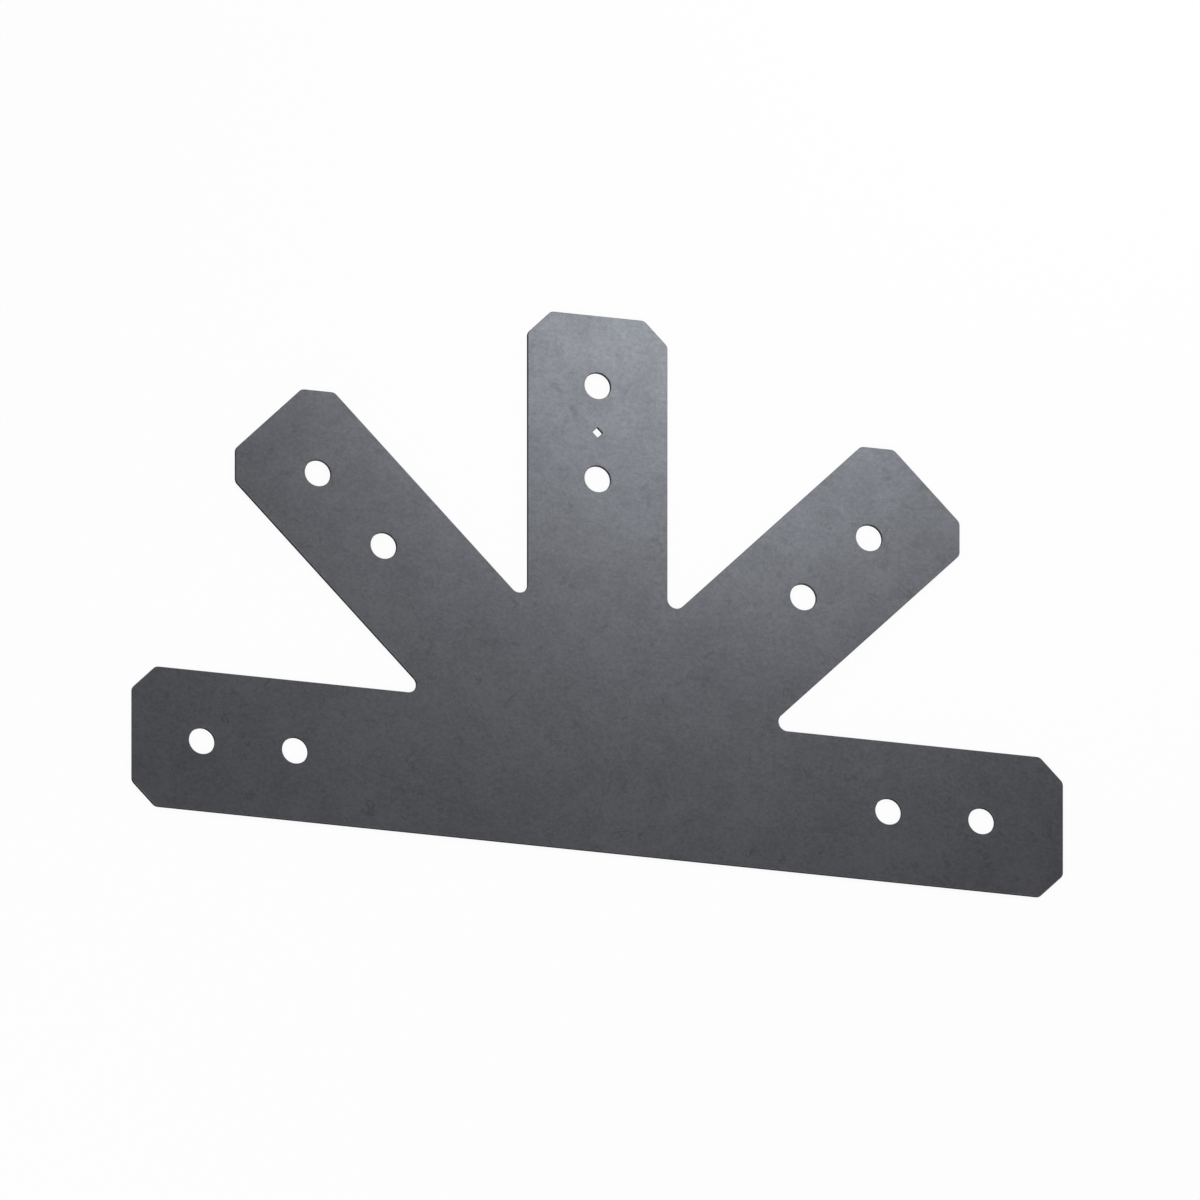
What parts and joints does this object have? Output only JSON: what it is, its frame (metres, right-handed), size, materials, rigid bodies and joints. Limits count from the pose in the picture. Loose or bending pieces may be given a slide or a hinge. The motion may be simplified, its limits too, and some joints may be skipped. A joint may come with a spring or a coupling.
{
  "type": "gable plate",
  "caption": "Flat sheet-steel connector with a straight lower bar and arms fanned up from its middle, each ending in cut-off corners, with bolt holes in line.",
  "frame": {"origin": "the working point, where the centre lines of the five arms meet, on the back face", "axes": "+X along the chord to the right as the face is seen, +Y up the king post, +Z out of the face that shows"},
  "size_m": [0.508, 0.2921, 0.0019],
  "materials": {
    "steel": "dark grey satin sheet steel with faint clouding"
  },
  "bodies": {
    "root": {"gable_plate": "steel"}
  },
  "joints": []
}
